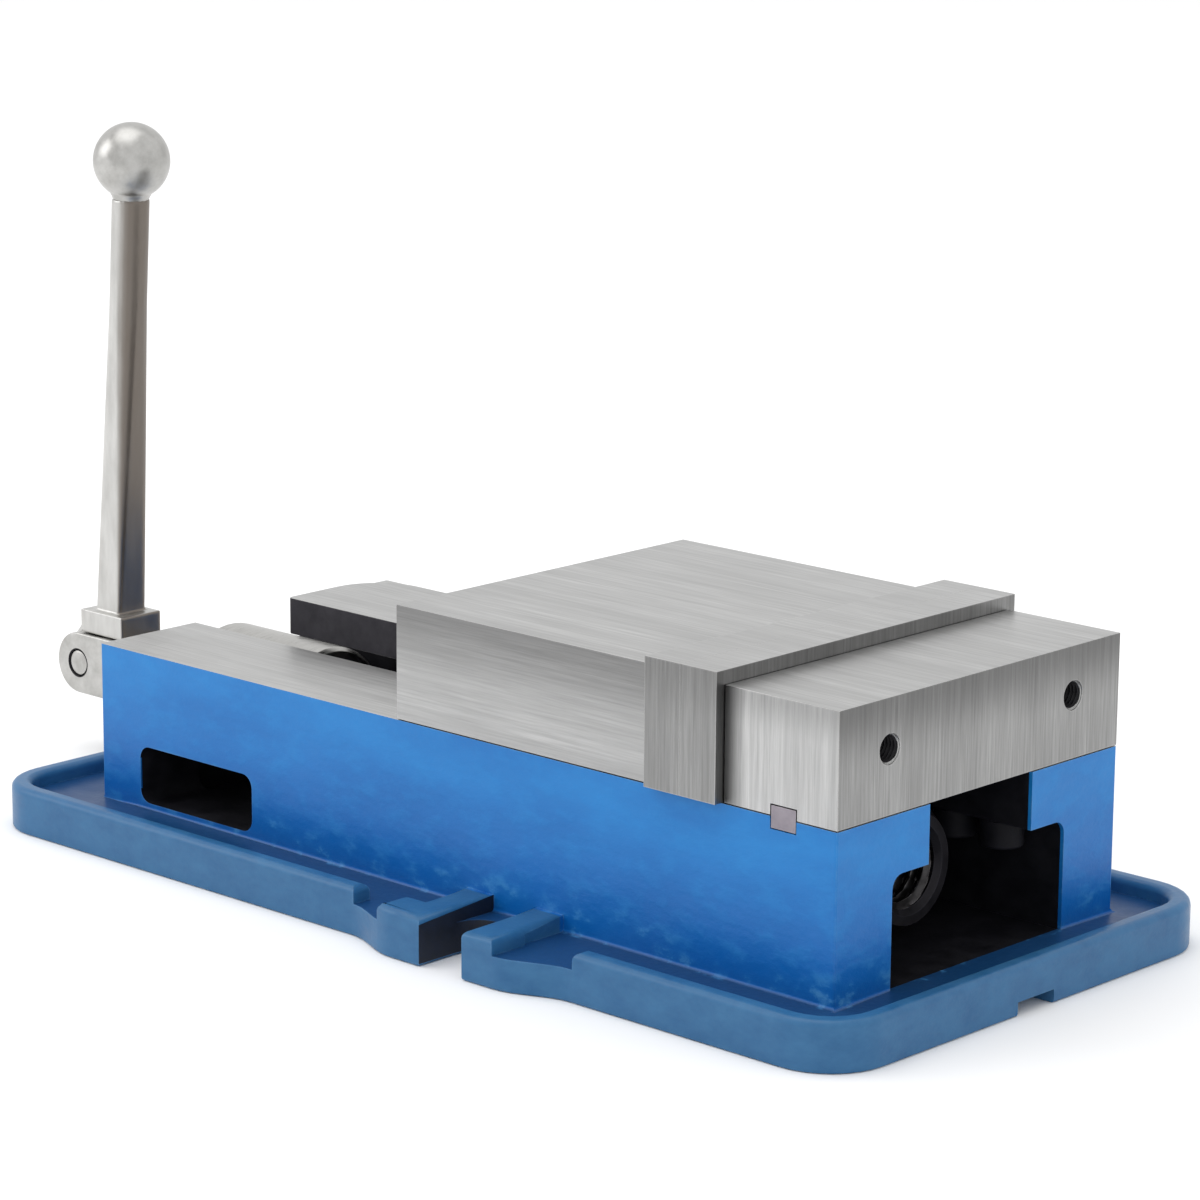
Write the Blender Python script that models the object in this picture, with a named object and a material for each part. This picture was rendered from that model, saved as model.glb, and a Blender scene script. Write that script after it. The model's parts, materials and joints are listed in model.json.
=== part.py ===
"""Six-inch lock-down milling vise, closed, with its crank handle upright.

Frame: +X towards the fixed jaw, +Y away from the operator's right hand, +Z up.
The origin is the middle of the base's underside. Every size below is in metres.
"""
from math import asin, cos, pi, radians, sin, tan

import bmesh
import bpy
from mathutils import Matrix, Vector

MM = 0.001
GAP = 0.3 * MM

# Base flange
BASE_LENGTH = 430 * MM
BASE_WIDTH = 210 * MM
BASE_CORNER = 24 * MM
FLANGE_TOP = 12 * MM
RIM_TOP = 18 * MM
RIM_WIDTH = 8 * MM

# Clamp slots, one on each long side, with a lug on both sides of the slot
SLOT_X = 43 * MM
SLOT_RADIUS = 10.5 * MM
SLOT_DEPTH = 29 * MM
LUG_WIDTH = 13 * MM
BULGE = 8.4 * MM
BULGE_FLAT = 25 * MM
BULGE_RAMP = 29 * MM
DRAINS_X = ((-9 * MM, 10 * MM), (68 * MM, 98 * MM))

# Keyways under both ends of the base
KEYWAY_WIDTH = 20 * MM
KEYWAY_DEPTH = 5 * MM
KEYWAY_LENGTH = 55 * MM
KEY_SCREW_RADIUS = 2.6 * MM
KEY_SCREW_DEPTH = 4.5 * MM

# Bed: the box that carries the two rails
BED_WIDTH = 152.4 * MM
BED_TOP = 73 * MM
BED_FRONT = BASE_LENGTH / 2 - 25.5 * MM
BED_REAR = BED_FRONT - 368.5 * MM
RAIL_GAP = 56 * MM
TUNNEL_WIDTH = 94 * MM
TUNNEL_TOP = 52 * MM
TUNNEL_CORNER = 5 * MM
REAR_WALL = 20 * MM
REAR_WALL_TOP = 58 * MM
WINDOW_X = (-157 * MM, -94 * MM)
WINDOW_Z = (14.6 * MM, 36.7 * MM)
WINDOW_CORNER = 5 * MM

# Jaws
JAW_FOOT = BED_TOP + GAP
FIXED_JAW_LENGTH = 49.5 * MM
FIXED_JAW_TOP = 114 * MM
PLATE_THICKNESS = 16 * MM
PLATE_WIDTH = 160.5 * MM
PLATE_TOP = 119 * MM
MOVABLE_JAW_LENGTH = 123.5 * MM
MOVABLE_JAW_TOP = 115.4 * MM
FIXED_JAW_REAR = BED_FRONT - FIXED_JAW_LENGTH
FIXED_PLATE_REAR = FIXED_JAW_REAR - GAP - PLATE_THICKNESS
MOVABLE_PLATE_REAR = FIXED_PLATE_REAR - GAP - PLATE_THICKNESS
MOVABLE_JAW_FRONT = MOVABLE_PLATE_REAR - GAP
MOVABLE_JAW_REAR = MOVABLE_JAW_FRONT - MOVABLE_JAW_LENGTH
GUIDE_WIDTH = RAIL_GAP - 1.2 * MM
GUIDE_FOOT = 63 * MM

# Tail of the movable jaw, which shields the screw from chips
TAIL_LENGTH = 113.4 * MM
TAIL_WIDTH = 48 * MM
TAIL_FOOT = 76.4 * MM
TAIL_TOP = 90.6 * MM
TAIL_FAR_CORNER = 22 * MM
TAIL_NEAR_CORNER = 2 * MM

# Screws that hold the jaw plates, and the bolts that hold the fixed jaw
PLATE_SCREW_Y = 49.8 * MM
PLATE_SCREW_Z = BED_TOP + 23.2 * MM
PLATE_SCREW_RADIUS = 5 * MM
PLATE_SCREW_LENGTH = 26 * MM
PLATE_SCREW_HEAD = (8 * MM, 10 * MM)
HEAD_SEAT_DEPTH = 11.5 * MM
JAW_BOLT_X = (FIXED_JAW_REAR + 10.5 * MM, FIXED_JAW_REAR + 31 * MM)
JAW_BOLT_Y = 35.6 * MM
JAW_BOLT_RADIUS = 5 * MM
JAW_BOLT_LENGTH = 39 * MM
JAW_BOLT_HEAD = (8 * MM, 10 * MM)
SIDE_KEY_X = (BED_FRONT - 28.7 * MM, BED_FRONT - 17.8 * MM)
SIDE_KEY_Z = (BED_TOP - 4.1 * MM, BED_TOP + 3.9 * MM)
SIDE_KEY_LENGTH = 20 * MM

# Lead screw and its bearings
SCREW_Z = 38 * MM
THREAD_RADIUS = 14 * MM
JOURNAL_RADIUS = 12.5 * MM
STUB_RADIUS = 9 * MM
COLLAR_RADIUS = 20 * MM
COLLAR_WIDTH = 10 * MM
THREAD_END = 125 * MM
HOUSING_RADIUS = 28 * MM
HOUSING_REAR = BED_REAR - 12 * MM
HOUSING_BORE = 22 * MM
HOUSING_END_WALL = 9.5 * MM
HOUSING_FRONT = -131 * MM
RACE_WIDTH = 3 * MM
CAGE_WIDTH = 4 * MM
RACE_RADIUS = 21 * MM
CAGE_RADIUS = 19.5 * MM
WASHER_WIDTH = 3 * MM
LOCK_SCREW_RADIUS = 4 * MM
LOCK_SCREW_X = BED_REAR + 29 * MM
LOCK_SCREW_Z = 1.5 * MM

# Lock-down nut and the half ball between the nut and the movable jaw
NUT_RADIUS = 24 * MM
NUT_BORE = 14.6 * MM
NUT_X = (-5 * MM, 160 * MM)
HOOK_X = (26 * MM, 56 * MM)
HOOK_TOP = 101 * MM
HOOK_WIDTH = 29 * MM
BALL_SEAT = Vector((70 * MM, 0, 92 * MM))
BALL_RADIUS = 13 * MM
POCKET_X = (12 * MM, 70 * MM)
POCKET_NOSE_X = 84 * MM
POCKET_TOP = 106.5 * MM
POCKET_WIDTH = 33 * MM
ADJUSTER_RADIUS = 5 * MM
ADJUSTER_LENGTH = 32 * MM
ADJUSTER_Z = 92 * MM

# Handle hub, a fork that the lever folds in
PIN_X = -269.5 * MM
PIN_RADIUS = 5.2 * MM
FORK_RADIUS = 12.6 * MM
FORK_WIDTH = 25 * MM
FORK_SLOT = 12.6 * MM
FORK_FLOOR = 13 * MM
FORK_FRONT = -226 * MM
HUB_RADIUS = 17 * MM
CROSS_PIN_RADIUS = 2.5 * MM

# Handle lever: a square bar that turns round towards the ball
COLLAR_X = (-269.5 * MM, -243.8 * MM)
COLLAR_BREADTH = 21 * MM
COLLAR_TOP = 60.5 * MM
LEVER_FOOT_X = -256.6 * MM
LEVER_SQUARE = 14.6 * MM
LEVER_TOP_RADIUS = 7.5 * MM
LEVER_LEAN = radians(3.7)
BALL_KNOB_RADIUS = 15.4 * MM
BALL_KNOB_HEIGHT = 185 * MM
SPIGOT_RADIUS = 4 * MM
SPIGOT_LENGTH = 11 * MM

FINE = 48
PLAIN = 32
COARSE = 20


# ---------------------------------------------------------------- materials

def material(name, colour, roughness, metallic):
    made = bpy.data.materials.new(name)
    made.use_nodes = True
    shader = made.node_tree.nodes["Principled BSDF"]
    shader.inputs["Base Color"].default_value = (*colour, 1)
    shader.inputs["Roughness"].default_value = roughness
    shader.inputs["Metallic"].default_value = metallic
    made.diffuse_color = (*colour, 1)
    return made


# ---------------------------------------------------------------- modelling helpers

def add_object(name, mesh, look=None):
    made = bpy.data.objects.new(name, mesh)
    bpy.context.scene.collection.objects.link(made)
    if look:
        mesh.materials.append(look)
    return made


def mesh_from(name, points, faces):
    mesh = bpy.data.meshes.new(name)
    shape = bmesh.new()
    corners = [shape.verts.new(point) for point in points]
    for face in faces:
        shape.faces.new([corners[index] for index in face])
    bmesh.ops.recalc_face_normals(shape, faces=shape.faces)
    shape.to_mesh(mesh)
    shape.free()
    return mesh


def prism(name, outline, low, high, look=None, axes="xyz"):
    """Extrude an outline. axes names the outline's two directions, then the extrusion's."""
    order = [axes.index(letter) for letter in "xyz"]
    points = []
    for level in (low, high):
        for first, second in outline:
            values = (first, second, level)
            points.append([values[index] for index in order])
    count = len(outline)
    faces = [tuple(range(count)), tuple(range(count, 2 * count))]
    for index in range(count):
        following = (index + 1) % count
        faces.append((index, following, count + following, count + index))
    return add_object(name, mesh_from(name, points, faces), look)


def box(name, x, y, z, look=None):
    outline = ((x[0], y[0]), (x[1], y[0]), (x[1], y[1]), (x[0], y[1]))
    return prism(name, outline, z[0], z[1], look)


def turned(name, profile, look=None, segments=FINE, smooth=True):
    """Turn (along, radius) points round the local X axis. Points on the axis close the ends."""
    points = []
    rings = []
    for along, radius in profile:
        if radius == 0:
            rings.append([len(points)] * segments)
            points.append((along, 0, 0))
            continue
        rings.append(list(range(len(points), len(points) + segments)))
        for step in range(segments):
            angle = 2 * pi * (step + 0.5) / segments
            points.append((along, radius * cos(angle), radius * sin(angle)))
    hollow = profile[0][1] > 0
    pairs = list(zip(rings, rings[1:]))
    if hollow:
        pairs.append((rings[-1], rings[0]))
    faces = []
    for here, there in pairs:
        for step in range(segments):
            following = (step + 1) % segments
            loop = (here[step], here[following], there[following], there[step])
            face = tuple(dict.fromkeys(loop))
            if len(face) > 2:
                faces.append(face)
    mesh = mesh_from(name, points, faces)
    if smooth:
        mesh.shade_smooth()
        mesh.set_sharp_from_angle(angle=radians(30))
    return add_object(name, mesh, look)


def arc(centre_x, centre_y, radius, start, end, steps):
    angles = [radians(start + (end - start) * step / steps) for step in range(steps + 1)]
    return [(centre_x + radius * cos(angle), centre_y + radius * sin(angle)) for angle in angles]


def rounded(x, y, radii, steps=6):
    """Rectangle outline. radii run anticlockwise from the low x, low y corner."""
    corners = ((x[0], y[0], 1, 1), (x[1], y[0], -1, 1), (x[1], y[1], -1, -1), (x[0], y[1], 1, -1))
    outline = []
    for turn, ((corner_x, corner_y, inward_x, inward_y), radius) in enumerate(zip(corners, radii)):
        start = 180 + 90 * turn
        if radius == 0:
            outline.append((corner_x, corner_y))
            continue
        centre = (corner_x + inward_x * radius, corner_y + inward_y * radius)
        outline += arc(*centre, radius, start, start + 90, steps)
    return outline


def boolean(target, tool, operation):
    modifier = target.modifiers.new(operation.lower(), "BOOLEAN")
    modifier.operation = operation
    modifier.solver = "EXACT"
    modifier.object = tool
    tool.hide_render = True
    tool.display_type = "WIRE"


def cut(target, *tools):
    for tool in tools:
        boolean(target, tool, "DIFFERENCE")


def unite(target, *tools):
    for tool in tools:
        boolean(target, tool, "UNION")


def settle(target):
    """Replace an object's mesh with the result of its modifiers, and drop their tools."""
    tools = [modifier.object for modifier in target.modifiers]
    graph = bpy.context.evaluated_depsgraph_get()
    result = bpy.data.meshes.new_from_object(target.evaluated_get(graph))
    target.modifiers.clear()
    target.data = result
    for tool in tools:
        bpy.data.objects.remove(tool)


def move(target, location, turn=(0, 0, 0)):
    target.location = location
    target.rotation_euler = turn
    return target


def rod(name, start, end, radius, look=None, segments=PLAIN):
    """Round bar between two points."""
    along = Vector(end) - Vector(start)
    made = turned(name, ((0, 0), (0, radius), (along.length, radius), (along.length, 0)), look, segments)
    turn = Vector((1, 0, 0)).rotation_difference(along).to_matrix().to_4x4()
    made.data.transform(Matrix.Translation(start) @ turn)
    return made


def copy_of(source, name, location, turn=(0, 0, 0)):
    made = bpy.data.objects.new(name, source.data)
    bpy.context.scene.collection.objects.link(made)
    return move(made, location, turn)


def cap_screw(name, radius, length, head, look):
    """Socket head screw: the head's underside is at the origin and the thread runs along +X."""
    head_radius, head_height = head
    edge = 0.8 * MM
    profile = (
        (-head_height, 0),
        (-head_height, head_radius - edge),
        (-head_height + edge, head_radius),
        (0, head_radius),
        (0, radius),
        (length - edge, radius),
        (length, radius - edge),
        (length, 0),
    )
    made = turned(name, profile, look, COARSE)
    socket = arc(0, 0, 0.62 * head_radius, 0, 300, 5)
    cut(made, prism(name + "_socket", socket, -head_height - MM, -0.45 * head_height, axes="yzx"))
    settle(made)
    return made


def grub_screw(name, radius, length, look):
    """Headless screw along +X, with its socket at the origin."""
    edge = 0.7 * MM
    profile = (
        (0, 0),
        (0, radius - edge),
        (edge, radius),
        (length - edge, radius),
        (length, radius - 2 * edge),
        (length, 0),
    )
    made = turned(name, profile, look, COARSE)
    socket = arc(0, 0, 0.55 * radius, 0, 300, 5)
    cut(made, prism(name + "_socket", socket, -MM, 0.9 * radius, axes="yzx"))
    settle(made)
    return made


# ---------------------------------------------------------------- bed casting

def flange_side(side):
    """Long side of the flange, from low X to high X, with the bulge at its clamp slot."""
    straight = side * BASE_WIDTH / 2
    outline = []
    steps = 8
    for step in range(steps + 1):
        share = step / steps
        height = BULGE * (1 - cos(pi * share)) / 2
        x = SLOT_X - BULGE_FLAT - BULGE_RAMP * (1 - share)
        outline.append((x, straight + side * height))
    mirrored = [(2 * SLOT_X - x, y) for x, y in reversed(outline)]
    return outline + mirrored


def flange_outline():
    corners = rounded(
        (-BASE_LENGTH / 2, BASE_LENGTH / 2),
        (-BASE_WIDTH / 2, BASE_WIDTH / 2),
        [BASE_CORNER] * 4,
        steps=8,
    )
    per_corner = len(corners) // 4
    near = corners[:per_corner]
    far = corners[per_corner:3 * per_corner]
    last = corners[3 * per_corner:]
    return near + flange_side(-1) + far + flange_side(1)[::-1] + last


def slot_cutter(side):
    edge = side * (BASE_WIDTH / 2 + BULGE)
    inner = edge - side * (SLOT_DEPTH - SLOT_RADIUS)
    turn = 0 if side < 0 else 180
    outline = arc(SLOT_X, inner, SLOT_RADIUS, turn, turn + 180, 12)
    beyond = edge + side * 5 * MM
    outline.append((outline[-1][0], beyond))
    outline.append((outline[0][0], beyond))
    return prism("slot_cutter", outline, -MM, 30 * MM)


def lug(side, along):
    low = SLOT_X + along * SLOT_RADIUS
    high = low + along * LUG_WIDTH
    outer = side * (BASE_WIDTH / 2 + BULGE)
    inner = side * (BED_WIDTH / 2 - 2 * MM)
    return box("lug", sorted((low, high)), sorted((inner, outer)), (MM, RIM_TOP))


def tunnel_cutter():
    """Space between and under the rails, as seen along X."""
    half = TUNNEL_WIDTH / 2
    slit = RAIL_GAP / 2
    above = BED_TOP + 5 * MM
    outline = [(-slit, above), (-slit, TUNNEL_TOP)]
    outline += arc(-half + TUNNEL_CORNER, TUNNEL_TOP - TUNNEL_CORNER, TUNNEL_CORNER, 90, 180, 5)
    outline += [(-half, FLANGE_TOP), (half, FLANGE_TOP)]
    outline += arc(half - TUNNEL_CORNER, TUNNEL_TOP - TUNNEL_CORNER, TUNNEL_CORNER, 0, 90, 5)
    outline += [(slit, TUNNEL_TOP), (slit, above)]
    return prism("tunnel_cutter", outline, BED_REAR + REAR_WALL, BED_FRONT + 5 * MM, axes="yzx")


def build_bed(look):
    bed = prism("bed", flange_outline(), 0, RIM_TOP, look)
    trough_x = BASE_LENGTH / 2 - RIM_WIDTH
    trough_y = BASE_WIDTH / 2 - RIM_WIDTH
    trough_corner = BASE_CORNER - RIM_WIDTH
    trough = rounded((-trough_x, trough_x), (-trough_y, trough_y), [trough_corner] * 4)
    cut(bed, prism("trough_cutter", trough, FLANGE_TOP, 30 * MM))
    half = BED_WIDTH / 2
    unite(bed, box("bed_box", (BED_REAR, BED_FRONT), (-half, half), (2 * MM, BED_TOP)))
    for side in (-1, 1):
        for along in (-1, 1):
            unite(bed, lug(side, along))
        rim = sorted((side * (trough_y - MM), side * (BASE_WIDTH / 2 + 2 * BULGE)))
        for drain in DRAINS_X:
            cut(bed, box("drain_cutter", drain, rim, (FLANGE_TOP, 30 * MM)))
        cut(bed, slot_cutter(side))

    cut(bed, tunnel_cutter())
    slit = RAIL_GAP / 2
    rear = (BED_REAR - 5 * MM, BED_REAR + REAR_WALL + MM)
    cut(bed, box("rear_slit_cutter", rear, (-slit, slit), (REAR_WALL_TOP, BED_TOP + 5 * MM)))
    cradle_end = HOUSING_FRONT + MM
    cradle_start = HOUSING_REAR - MM
    cut(bed, rod("housing_cutter", (cradle_start, 0, SCREW_Z), (cradle_end, 0, SCREW_Z),
                 HOUSING_RADIUS + GAP, segments=FINE))
    cut(bed, rod("lock_screw_cutter", (LOCK_SCREW_X, 0, -MM), (LOCK_SCREW_X, 0, SCREW_Z),
                 LOCK_SCREW_RADIUS + GAP, segments=COARSE))
    window = rounded(WINDOW_X, WINDOW_Z, [WINDOW_CORNER] * 4)
    for side in (-1, 1):
        reach = sorted((side * (TUNNEL_WIDTH / 2 - 5 * MM), side * (half + 5 * MM)))
        cut(bed, prism("window_cutter", window, *reach, axes="xzy"))
        for bolt_x in JAW_BOLT_X:
            foot = (bolt_x, side * JAW_BOLT_Y, TUNNEL_TOP - 5 * MM)
            top = (bolt_x, side * JAW_BOLT_Y, BED_TOP + 5 * MM)
            cut(bed, rod("bolt_cutter", foot, top, JAW_BOLT_RADIUS + GAP, segments=COARSE))
        cut(bed, side_key_cutter(side))
        keyway_end = side * (BASE_LENGTH / 2 + 5 * MM)
        keyway_start = side * (BASE_LENGTH / 2 - KEYWAY_LENGTH)
        keyway = sorted((keyway_start, keyway_end))
        across = (-KEYWAY_WIDTH / 2, KEYWAY_WIDTH / 2)
        cut(bed, box("keyway_cutter", keyway, across, (-MM, KEYWAY_DEPTH)))
        hole_x = side * (BASE_LENGTH / 2 - KEYWAY_LENGTH / 2)
        cut(bed, rod("key_screw_cutter", (hole_x, 0, 0), (hole_x, 0, KEYWAY_DEPTH + KEY_SCREW_DEPTH),
                     KEY_SCREW_RADIUS, segments=COARSE))
    return bed


# ---------------------------------------------------------------- fixed jaw

def side_key_cutter(side):
    x = (SIDE_KEY_X[0] - GAP, SIDE_KEY_X[1] + GAP)
    y = sorted((side * (BED_WIDTH / 2 - SIDE_KEY_LENGTH - GAP), side * (BED_WIDTH / 2 + 5 * MM)))
    z = (SIDE_KEY_Z[0] - GAP, SIDE_KEY_Z[1] + GAP)
    return box("side_key_cutter", x, y, z)


def build_side_keys(look):
    keys = []
    for side, place in ((-1, "near"), (1, "far")):
        y = sorted((side * (BED_WIDTH / 2 - SIDE_KEY_LENGTH), side * BED_WIDTH / 2))
        keys.append(box("fixed_jaw_key_" + place, SIDE_KEY_X, y, SIDE_KEY_Z, look))
    return keys


def build_fixed_jaw(look):
    half = BED_WIDTH / 2
    jaw = box("fixed_jaw", (FIXED_JAW_REAR, BED_FRONT), (-half, half), (JAW_FOOT, FIXED_JAW_TOP), look)
    for side in (-1, 1):
        start = (FIXED_JAW_REAR - 5 * MM, side * PLATE_SCREW_Y, PLATE_SCREW_Z)
        end = (BED_FRONT + 5 * MM, side * PLATE_SCREW_Y, PLATE_SCREW_Z)
        cut(jaw, rod("plate_hole_cutter", start, end, PLATE_SCREW_RADIUS + GAP, segments=PLAIN))
        for bolt_x in JAW_BOLT_X:
            foot = (bolt_x, side * JAW_BOLT_Y, BED_TOP - 5 * MM)
            top = (bolt_x, side * JAW_BOLT_Y, TUNNEL_TOP + JAW_BOLT_LENGTH + 2 * MM)
            cut(jaw, rod("bolt_cutter", foot, top, JAW_BOLT_RADIUS + GAP, segments=COARSE))
        cut(jaw, side_key_cutter(side))
    return jaw


def build_fixed_jaw_bolts(look):
    pattern = cap_screw("fixed_jaw_bolt", JAW_BOLT_RADIUS, JAW_BOLT_LENGTH, JAW_BOLT_HEAD, look)
    bolts = []
    for side, place in ((-1, "near"), (1, "far")):
        for bolt_x, row in zip(JAW_BOLT_X, ("rear", "front")):
            seat = (bolt_x, side * JAW_BOLT_Y, TUNNEL_TOP - GAP)
            bolts.append(copy_of(pattern, f"fixed_jaw_bolt_{place}_{row}", seat, (0, -pi / 2, 0)))
    bpy.data.objects.remove(pattern)
    return bolts


# ---------------------------------------------------------------- jaw plates and their screws

def build_plate(name, rear, screws_towards, look):
    """Jaw plate whose screws point towards +X or -X, with their heads sunk in the other face."""
    half = PLATE_WIDTH / 2
    plate = box(name, (rear, rear + PLATE_THICKNESS), (-half, half), (JAW_FOOT, PLATE_TOP), look)
    face = rear if screws_towards > 0 else rear + PLATE_THICKNESS
    for side in (-1, 1):
        tool = turned("screw_hole_cutter", screw_hole_profile(), segments=PLAIN)
        cut(plate, place_screw(tool, face, side, screws_towards))
    return plate


def screw_hole_profile():
    """Counterbored hole that starts outside the plate's face, which is at 0."""
    head = PLATE_SCREW_HEAD[0] + 2 * GAP
    shank = PLATE_SCREW_RADIUS + GAP
    outside = -5 * MM
    through = PLATE_THICKNESS + 5 * MM
    return (
        (outside, 0),
        (outside, head),
        (HEAD_SEAT_DEPTH, head),
        (HEAD_SEAT_DEPTH, shank),
        (through, shank),
        (through, 0),
    )


def place_screw(target, along, side, towards):
    turn = (0, 0, 0) if towards > 0 else (0, 0, pi)
    return move(target, (along, side * PLATE_SCREW_Y, PLATE_SCREW_Z), turn)


def build_plate_screws(name, rear, screws_towards, look):
    pattern = cap_screw(name, PLATE_SCREW_RADIUS, PLATE_SCREW_LENGTH, PLATE_SCREW_HEAD, look)
    face = rear if screws_towards > 0 else rear + PLATE_THICKNESS
    seat = face + screws_towards * (HEAD_SEAT_DEPTH - GAP)
    screws = []
    for side, place in ((-1, "near"), (1, "far")):
        screw = copy_of(pattern, f"{name}_{place}", (0, 0, 0))
        screws.append(place_screw(screw, seat, side, screws_towards))
    bpy.data.objects.remove(pattern)
    return screws


# ---------------------------------------------------------------- movable jaw

def build_movable_jaw(look):
    half = BED_WIDTH / 2
    across = (MOVABLE_JAW_REAR, MOVABLE_JAW_FRONT)
    jaw = box("movable_jaw", across, (-half, half), (JAW_FOOT, MOVABLE_JAW_TOP), look)

    guide = (MOVABLE_JAW_REAR, MOVABLE_JAW_FRONT - 3 * MM)
    guide_half = GUIDE_WIDTH / 2
    unite(jaw, box("jaw_guide", guide, (-guide_half, guide_half), (GUIDE_FOOT, JAW_FOOT + 5 * MM)))
    tail_x = (MOVABLE_JAW_REAR - TAIL_LENGTH, MOVABLE_JAW_REAR + 5 * MM)
    tail_y = (-TAIL_WIDTH / 2, TAIL_WIDTH / 2)
    corners = (TAIL_NEAR_CORNER, 0, 0, TAIL_FAR_CORNER)
    unite(jaw, prism("jaw_tail", rounded(tail_x, tail_y, corners, steps=10), TAIL_FOOT, TAIL_TOP))

    pocket_half = POCKET_WIDTH / 2
    pocket_y = (-pocket_half, pocket_half)
    cut(jaw, box("pocket_cutter", POCKET_X, pocket_y, (GUIDE_FOOT - 5 * MM, POCKET_TOP)))
    nose = (POCKET_X[1] - MM, POCKET_NOSE_X)
    cut(jaw, box("pocket_nose_cutter", nose, pocket_y, (BALL_SEAT.z, POCKET_TOP)))
    cut(jaw, half_ball("ball_seat_cutter", BALL_RADIUS + GAP, 1.6 * MM))
    adjuster_end = (POCKET_X[0] + MM, 0, ADJUSTER_Z)
    adjuster_start = (MOVABLE_JAW_REAR - 5 * MM, 0, ADJUSTER_Z)
    cut(jaw, rod("adjuster_cutter", adjuster_start, adjuster_end, ADJUSTER_RADIUS + GAP, segments=PLAIN))
    for side in (-1, 1):
        y = side * PLATE_SCREW_Y
        inner = MOVABLE_JAW_FRONT - PLATE_SCREW_LENGTH + 5 * MM
        cut(jaw, rod("plate_hole_cutter", (inner, y, PLATE_SCREW_Z),
                     (MOVABLE_JAW_FRONT + 5 * MM, y, PLATE_SCREW_Z), PLATE_SCREW_RADIUS + GAP,
                     segments=PLAIN))
    return jaw


# ---------------------------------------------------------------- lock-down nut and half ball

def half_ball(name, radius, lift, look=None):
    """Ball cut off by a 45-degree face, lift above its centre on the side towards the nut."""
    steps = 10
    rim = asin(lift / radius)
    angles = [rim - (rim + pi / 2) * step / steps for step in range(steps)]
    profile = [(lift, 0)]
    profile += [(radius * sin(angle), radius * cos(angle)) for angle in angles]
    profile.append((-radius, 0))
    made = turned(name, profile, look, PLAIN)
    towards_nut = Vector((-1, 0, 1)).normalized()
    turn = Vector((1, 0, 0)).rotation_difference(towards_nut).to_matrix().to_4x4()
    made.data.transform(Matrix.Translation(BALL_SEAT) @ turn)
    return made


def build_nut(look):
    """Threaded sleeve with a hook whose sloping face pulls the half ball forwards and down."""
    edge = 2 * MM
    profile = (
        (NUT_X[0], NUT_BORE + edge),
        (NUT_X[0], NUT_RADIUS - edge),
        (NUT_X[0] + edge, NUT_RADIUS),
        (NUT_X[1] - 3 * edge, NUT_RADIUS),
        (NUT_X[1], NUT_RADIUS - 2 * edge),
        (NUT_X[1], NUT_BORE + edge),
        (NUT_X[1] - edge, NUT_BORE),
        (NUT_X[0] + edge, NUT_BORE),
    )
    nut = turned("lock_down_nut", profile, look)
    nut.location.z = SCREW_Z
    face = BALL_SEAT.x - BALL_SEAT.z - 1.5 * GAP
    hook_foot = SCREW_Z + NUT_BORE + 2 * MM
    outline = (
        (HOOK_X[0], hook_foot),
        (HOOK_X[1], hook_foot),
        (HOOK_X[1], HOOK_X[1] - face),
        (HOOK_TOP + face, HOOK_TOP),
        (HOOK_X[0], HOOK_TOP),
    )
    unite(nut, prism("hook", outline, -HOOK_WIDTH / 2, HOOK_WIDTH / 2, axes="xzy"))
    return nut


# ---------------------------------------------------------------- lead screw and bearings

def stack_up():
    """Places along X of the pieces on the screw, from the handle hub forwards."""
    places = {"housing": HOUSING_REAR}
    places["washer"] = places["housing"] - GAP - WASHER_WIDTH
    places["hub"] = places["washer"] - GAP
    places["race_rear"] = places["housing"] + HOUSING_END_WALL + GAP
    places["cage"] = places["race_rear"] + RACE_WIDTH + GAP
    places["race_front"] = places["cage"] + CAGE_WIDTH + GAP
    places["collar"] = places["race_front"] + RACE_WIDTH + GAP
    return places


PLACES = stack_up()
HUB_REAR = FORK_FRONT
STUB_REAR = HUB_REAR + 6 * MM
CROSS_PIN_X = (HUB_REAR + PLACES["hub"]) / 2


def build_lead_screw(look):
    edge = 1.5 * MM
    collar = PLACES["collar"]
    profile = (
        (STUB_REAR, 0),
        (STUB_REAR, STUB_RADIUS - edge),
        (STUB_REAR + edge, STUB_RADIUS),
        (PLACES["hub"] + GAP, STUB_RADIUS),
        (PLACES["hub"] + GAP, JOURNAL_RADIUS),
        (collar, JOURNAL_RADIUS),
        (collar, COLLAR_RADIUS),
        (collar + COLLAR_WIDTH, COLLAR_RADIUS),
        (collar + COLLAR_WIDTH, THREAD_RADIUS),
        (THREAD_END - 2 * edge, THREAD_RADIUS),
        (THREAD_END, THREAD_RADIUS - 2 * edge),
        (THREAD_END, 0),
    )
    screw = turned("lead_screw", profile, look)
    screw.location.z = SCREW_Z
    cut(screw, cross_pin_cutter())
    return screw


def ring(name, start, width, inner, outer, look):
    edge = 0.4 * MM
    profile = (
        (start, inner),
        (start, outer - edge),
        (start + edge, outer),
        (start + width - edge, outer),
        (start + width, outer - edge),
        (start + width, inner),
    )
    made = turned(name, profile, look, PLAIN)
    made.location.z = SCREW_Z
    return made


def build_housing(look):
    edge = 1.5 * MM
    rear = PLACES["housing"]
    profile = (
        (rear, JOURNAL_RADIUS + GAP),
        (rear, HOUSING_RADIUS - edge),
        (rear + edge, HOUSING_RADIUS),
        (HOUSING_FRONT - edge, HOUSING_RADIUS),
        (HOUSING_FRONT, HOUSING_RADIUS - edge),
        (HOUSING_FRONT, HOUSING_BORE),
        (rear + HOUSING_END_WALL, HOUSING_BORE),
        (rear + HOUSING_END_WALL, JOURNAL_RADIUS + GAP),
    )
    housing = turned("screw_bearing_housing", profile, look)
    housing.location.z = SCREW_Z
    return housing


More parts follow.
